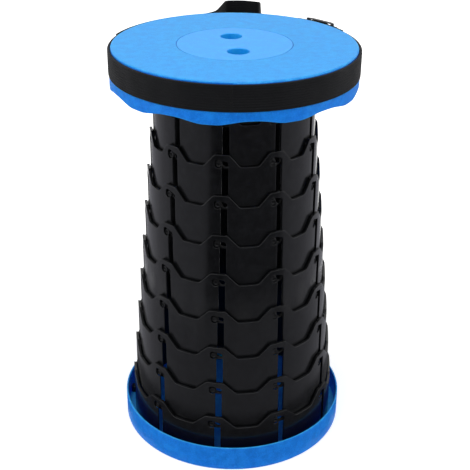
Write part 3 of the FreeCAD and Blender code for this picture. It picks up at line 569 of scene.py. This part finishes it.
def recess_tree():
    """A cross recess, cut into a blank's lower face."""
    tree, given = new_tree("cross_recess", [
        ("Blank", "geometry"), ("Length", "length"), ("Width", "length"), ("Depth", "length"),
        ("Face", "length")])
    deep = add(tree, "ShaderNodeMath", {0: given["Depth"], 1: 2.0}, operation="MULTIPLY")
    one = add(tree, "ShaderNodeCombineXYZ", {
        "X": given["Length"], "Y": given["Width"], "Z": deep.outputs[0]})
    other = add(tree, "ShaderNodeCombineXYZ", {
        "X": given["Width"], "Y": given["Length"], "Z": deep.outputs[0]})
    at_face = add(tree, "ShaderNodeCombineXYZ", {"Z": given["Face"]})
    cut = given["Blank"]
    for size in (one, other):
        slot = add(tree, "GeometryNodeMeshCube", {"Size": size.outputs[0]})
        placed = add(tree, "GeometryNodeTransform", {
            "Geometry": slot.outputs["Mesh"], "Translation": at_face.outputs[0]})
        cut = add(tree, "GeometryNodeMeshBoolean", {
            "Mesh 1": cut, "Mesh 2": placed.outputs[0]}, operation="DIFFERENCE").outputs["Mesh"]
    add(tree, "NodeGroupOutput", {"Geometry": cut})
    return tree


def round_set_tree():
    """A set of equal pieces, evenly round the vertical axis and turned outwards. The tree starts
    from an empty mesh, which it doesn't use."""
    tree, given = new_tree("round_set", [
        ("Start", "geometry"), ("Piece", "piece"), ("Count", "count"), ("Circle", "length"),
        ("Turn", "turn"), ("Level", "length"), ("Finish", "finish")])
    piece = add(tree, "GeometryNodeObjectInfo", {"Object": given["Piece"]})
    places = add(tree, "GeometryNodeMeshCircle", {
        "Vertices": given["Count"], "Radius": given["Circle"]})
    index = add(tree, "GeometryNodeInputIndex").outputs[0]
    share = add(tree, "ShaderNodeMath", {0: index, 1: given["Count"]}, operation="DIVIDE")
    angle = add(tree, "ShaderNodeMath", {0: share.outputs[0], 1: 2 * math.pi},
                operation="MULTIPLY")
    outward = add(tree, "ShaderNodeCombineXYZ", {"Z": angle.outputs[0]})
    ring = add(tree, "GeometryNodeInstanceOnPoints", {
        "Points": places.outputs[0], "Instance": piece.outputs["Geometry"],
        "Rotation": outward.outputs[0]})
    lift = add(tree, "ShaderNodeCombineXYZ", {"Z": given["Level"]})
    turn = add(tree, "ShaderNodeCombineXYZ", {"Z": given["Turn"]})
    real = add(tree, "GeometryNodeRealizeInstances", {"Geometry": ring.outputs[0]})
    moved = add(tree, "GeometryNodeTransform", {
        "Geometry": real.outputs[0], "Translation": lift.outputs[0], "Rotation": turn.outputs[0]})
    done = add(tree, "GeometryNodeSetMaterial", {
        "Geometry": moved.outputs[0], "Material": given["Finish"]})
    add(tree, "NodeGroupOutput", {"Geometry": done.outputs[0]})
    return tree


# Shapes


def curve_of(name, runs, closed=False):
    """A curve of straight runs through each list of points."""
    data = bpy.data.curves.new(name, "CURVE")
    data.dimensions = "3D"
    for points in runs:
        spline = data.splines.new("POLY")
        spline.points.add(len(points) - 1)
        for spot, point in zip(spline.points, points):
            spot.co = (*point, 1)
        spline.use_cyclic_u = closed
    return bpy.data.objects.new(name, data)


def polar(radius, degrees, level):
    """A point by its direction, in degrees from +X towards +Y."""
    turn = math.radians(degrees)
    return Vector((radius * math.cos(turn), radius * math.sin(turn), level))


def arc(radius, first, last, level, steps):
    """Points round the stool's axis, between two directions."""
    return [polar(radius, first + (last - first) * i / steps, level) for i in range(steps + 1)]


def bend_points(before, corner, after, radius, steps=10):
    """Points of an arc that rounds a corner of the webbing's path."""
    back = (before - corner).normalized()
    ahead = (after - corner).normalized()
    half = back.angle(ahead) / 2
    centre = corner + (back + ahead).normalized() * (radius / math.sin(half))
    start = corner + back * (radius / math.tan(half)) - centre
    leftwards = back.cross(ahead).z < 0
    whole = (math.pi - 2 * half) * (1 if leftwards else -1)
    return [centre + Matrix.Rotation(whole * i / steps, 3, "Z") @ start for i in range(steps + 1)]


def rounded_run(points, radii):
    """Straight runs through the points, with an arc at each inner one."""
    run = [points[0]]
    for before, corner, after, radius in zip(points, points[1:], points[2:], radii):
        run += bend_points(before, corner, after, radius)
    return run + [points[-1]]


def lathe(name, outline, steps):
    """A closed solid turned about the vertical axis from (radius, height) points in millimetres."""
    shape = bmesh.new()
    rings = []
    for radius, height in outline:
        if radius == 0:
            rings.append([shape.verts.new((0, 0, height * MM))])
            continue
        turns = [2 * math.pi * i / steps for i in range(steps)]
        rings.append([shape.verts.new((radius * MM * math.cos(t), radius * MM * math.sin(t),
                                       height * MM)) for t in turns])
    for low, high in zip(rings, rings[1:]):
        for i in range(steps):
            j = (i + 1) % steps
            corners = [low[i % len(low)], low[j % len(low)], high[j % len(high)], high[i % len(high)]]
            shape.faces.new(list(dict.fromkeys(corners)))
    bmesh.ops.recalc_face_normals(shape, faces=shape.faces)
    mesh = bpy.data.meshes.new(name)
    shape.to_mesh(mesh)
    shape.free()
    mesh.shade_smooth()
    mesh.set_sharp_from_angle(angle=math.radians(40))
    return bpy.data.objects.new(name, mesh)


def carried(node, finish):
    """A part that keeps the frame's shape and gets its finish."""
    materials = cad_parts[node].data.materials
    materials.clear()
    materials.append(finish)


def softened(node, name, radius, finish):
    """A copy of a part with its edges rounded."""
    shape = bmesh.new()
    shape.from_mesh(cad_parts[node].data)
    bmesh.ops.remove_doubles(shape, verts=shape.verts, dist=0.01 * MM)
    bmesh.ops.dissolve_limit(shape, angle_limit=math.radians(1), verts=shape.verts,
                             edges=shape.edges)
    bmesh.ops.recalc_face_normals(shape, faces=shape.faces)
    sharp = bpy.data.meshes.new(name + "_sharp")
    shape.to_mesh(sharp)
    shape.free()
    start = bpy.data.objects.new(name, sharp)
    bpy.context.scene.collection.objects.link(start)
    bevel = start.modifiers.new("rounding", "BEVEL")
    bevel.width = radius
    bevel.segments = 3
    bevel.limit_method = "ANGLE"
    shaped = start.evaluated_get(bpy.context.evaluated_depsgraph_get())
    mesh = bpy.data.meshes.new_from_object(shaped)
    bpy.data.objects.remove(start)
    mesh.name = name
    mesh.shade_smooth()
    mesh.set_sharp_from_angle(angle=math.radians(35))
    mesh.materials.append(finish)
    piece = bpy.data.objects.new(name, mesh)
    bpy.context.scene.collection.objects.link(piece)
    return piece


def settle(piece, body, slot, *nodes):
    """The piece moves with a body and shows in place of its nodes. The slot is not used."""
    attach(piece, body)
    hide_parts(*nodes)


# The stool


def dress_moulded_parts():
    """Finishes of the seat, its cap, the tray and the rings, and the slider with softened edges."""
    blue = seat_plastic()
    cap = cap_plastic()
    black = ring_plastic()
    carried("seat_cap", cap)
    for node in ("base_tray", "seat_top"):
        carried(node, blue)
    for number in range(1, RING_COUNT + 1):
        carried("ring_%02d" % number, black)
    slider = softened("strap_slider", "slider_rounded", 0.45 * MM, slider_plastic())
    settle(slider, "seat", "slider_black", "strap_slider")


def tangent(degrees):
    """Direction along the belt at a place on it, with the angle growing."""
    turn = math.radians(degrees)
    return Vector((-math.sin(turn), math.cos(turn), 0))


def loop_path():
    """The second layer's path: along the belt, out into the loop behind the seat, and back."""
    leave = polar(LAYER_RADIUS, LOOP_OUT, STRAP_MIDDLE)
    meet = polar(LAYER_RADIUS, LOOP_BACK, STRAP_MIDDLE)
    right = 27.6 * MM
    run_right = (leave.x - right) / math.sin(math.radians(LOOP_OUT))
    run_left = 22 * MM
    corners = [
        leave,
        leave + tangent(LOOP_OUT) * run_right,
        Vector((right, LAYER_RADIUS + 51.8 * MM, STRAP_MIDDLE)),
        Vector((6.0 * MM, LAYER_RADIUS + 59.8 * MM, STRAP_MIDDLE)),
        Vector((-12.3 * MM, LAYER_RADIUS + 57.1 * MM, STRAP_MIDDLE)),
        meet - tangent(LOOP_BACK) * run_left,
        meet,
    ]
    radii = [6.0 * MM, 5.0 * MM, 40.0 * MM, 6.0 * MM, 32.0 * MM]
    path = arc(LAYER_RADIUS, LAYER_START, LOOP_OUT, STRAP_MIDDLE, steps=40)
    path += rounded_run(corners, radii)[1:-1]
    return path + arc(LAYER_RADIUS, LOOP_BACK, LAYER_END, STRAP_MIDDLE, steps=48)


def tail_path():
    """The tail's path: along the belt, with a hump over the slider's centre bar."""
    rise = 5.5 * MM      # of the hump's top above the tail's ends
    crown = 4.2 * MM     # half length of the hump's top
    foot = 14.0 * MM     # half length of the hump's foot
    half = 28 * MM       # half length of the whole tail
    steps = 104
    points = []
    for i in range(steps + 1):
        run = half * (2 * i / steps - 1)
        share = min(max((foot - abs(run)) / (foot - crown), 0), 1)
        radius = TAIL_RADIUS + rise * share * share * (3 - 2 * share)
        direction = SLIDER_DIRECTION + math.degrees(run / TAIL_RADIUS)
        points.append(polar(radius, direction, SLIDER_MIDDLE))
    return points


def make_webbing():
    """Belt round the seat, the layer with the handle's loop on it, and the tail in the slider."""
    tree = webbing_tree()
    finish = woven_webbing()
    round_seat = arc(BELT_RADIUS, -90, 270, STRAP_MIDDLE, steps=240)[:-1]
    for part, points, width, thickness, step in (
            ("belt", round_seat, STRAP_WIDTH, BELT_THICK, 3.0 * MM),
            ("handle", loop_path(), STRAP_WIDTH, STRAP_THICK, 1.6 * MM),
            ("tail", tail_path(), TAIL_WIDTH, STRAP_THICK, 0.7 * MM)):
        path = curve_of(part + "_path", [points], closed=part == "belt")
        webbing = grow(part + "_webbing", tree, path, Width=width, Thickness=thickness,
                       Rib=RIB_SPACING, Groove=RIB_GROOVE, Step=step, Finish=finish)
        settle(webbing, "seat", "webbing_black", "strap_" + part)


def sewn_box(first, last):
    """Paths of a sewn box with a cross in it, on the outer layer between two directions."""
    outside = LAYER_RADIUS + STRAP_THICK / 2
    low = STRAP_MIDDLE - STRAP_WIDTH / 2 + SEAM_MARGIN
    high = STRAP_MIDDLE + STRAP_WIDTH / 2 - SEAM_MARGIN
    runs = (((first, low), (last, low)), ((first, high), (last, high)),
            ((first, low), (first, high)), ((last, low), (last, high)),
            ((first, low), (last, high)), ((first, high), (last, low)))
    steps = 12
    return [[polar(outside, a + (b - a) * i / steps, level_a + (level_b - level_a) * i / steps)
             for i in range(steps + 1)] for (a, level_a), (b, level_b) in runs]


def sew():
    """Boxes of stitches that hold the outer layer to the belt at its ends and beside the loop."""
    places = ((LAYER_START + 0.8, LAYER_START + 4.2), (LOOP_OUT - 9, LOOP_OUT - 2),
              (LOOP_BACK + 2, LOOP_BACK + 9), (LAYER_END - 8, LAYER_END - 1.2))
    runs = [run for first, last in places for run in sewn_box(first, last)]
    stitches = grow("webbing_stitches", stitch_tree(), curve_of("stitch_path", runs),
                    Stitch=2.0 * MM, Pitch=2.5 * MM, Thread=0.55 * MM, Finish=sewing_thread())
    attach(stitches, "seat")


def screw_outline(grip):
    """Half outline of a pan-head screw, point up, from the middle of its head. In millimetres."""
    core, crest, pitch, threaded = 1.0, 1.25, 0.9, 5.0
    head = [(0, -SCREW_HEAD), (1.7, -SCREW_HEAD), (2.5, -1.38), (3.0, -0.95), (3.2, -0.4),
            (3.2, -0.1), (3.1, 0), (crest, 0), (crest, grip - 0.2)]
    thread = []
    height = grip
    while height < grip + threaded:
        thread += [(core, height), (crest, height + 0.3), (core, height + 0.6)]
        height += pitch
    tip = [(0.6, grip + 5.9), (0, grip + 6.0)]
    return head + thread + tip


def foot_outline():
    """Half outline of a foot, face down, with four round grooves in its face. In millimetres."""
    face = [(0, 0)]
    for radius in (1.6, 3.6, 5.6, 7.6):
        face += [(radius, 0), (radius + 0.25, 0.4), (radius + 0.75, 0.4), (radius + 1.0, 0)]
    rim = [(8.85, 0.1), (9.0, 0.35), (9.0, 1.2), (0, 1.2)]
    return face + rim


def set_round(name, tree, piece, circle, direction, level, finish):
    """Five of a piece, evenly round the stool on a circle of a radius in millimetres, with the first
    in a direction. The tree's circle starts at +Y, so it is turned back by a quarter. The piece is
    removed."""
    start = bpy.data.objects.new("start", bpy.data.meshes.new("start"))
    made = grow(name, tree, start, Piece=piece, Count=5, Circle=circle * MM, Level=level,
                Turn=math.radians(direction - 90), Finish=finish)
    bpy.data.objects.remove(piece)
    return made


def make_fastenings():
    """Screws and feet, five of each, evenly round the stool."""
    steel = zinc_steel()
    sets = round_set_tree()
    recess = recess_tree()
    # The grip is what lies under a screw's head, and the circle is the one that the screws lie on
    for name, node, body, grip, circle, direction in (
            ("base_screws_recessed", "base_screws", "base", 1.5, 118.85, BASE_DIRECTION),
            ("seat_screws_recessed", "seat_screws", "seat", 4.0, 73.3, 26.7)):
        blank = lathe("screw", screw_outline(grip), steps=32)
        screw = grow("screw_recessed", recess, blank, Length=3.6 * MM, Width=0.8 * MM,
                     Depth=0.9 * MM, Face=-SCREW_HEAD * MM)
        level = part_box(node)[0].z + SCREW_HEAD * MM
        made = set_round(name, sets, screw, circle, direction, level, steel)
        settle(made, body, "screw_steel", node)

    foot = lathe("foot", foot_outline(), steps=48)
    bpy.context.scene.collection.objects.link(foot)
    feet = set_round("feet_grooved", sets, foot, 95, BASE_DIRECTION, 0.0, foot_rubber())
    settle(feet, "base", "foot_rubber", "base_feet")


def main():
    place_camera()
    light_room()
    dress_moulded_parts()
    make_webbing()
    sew()
    make_fastenings()


main()
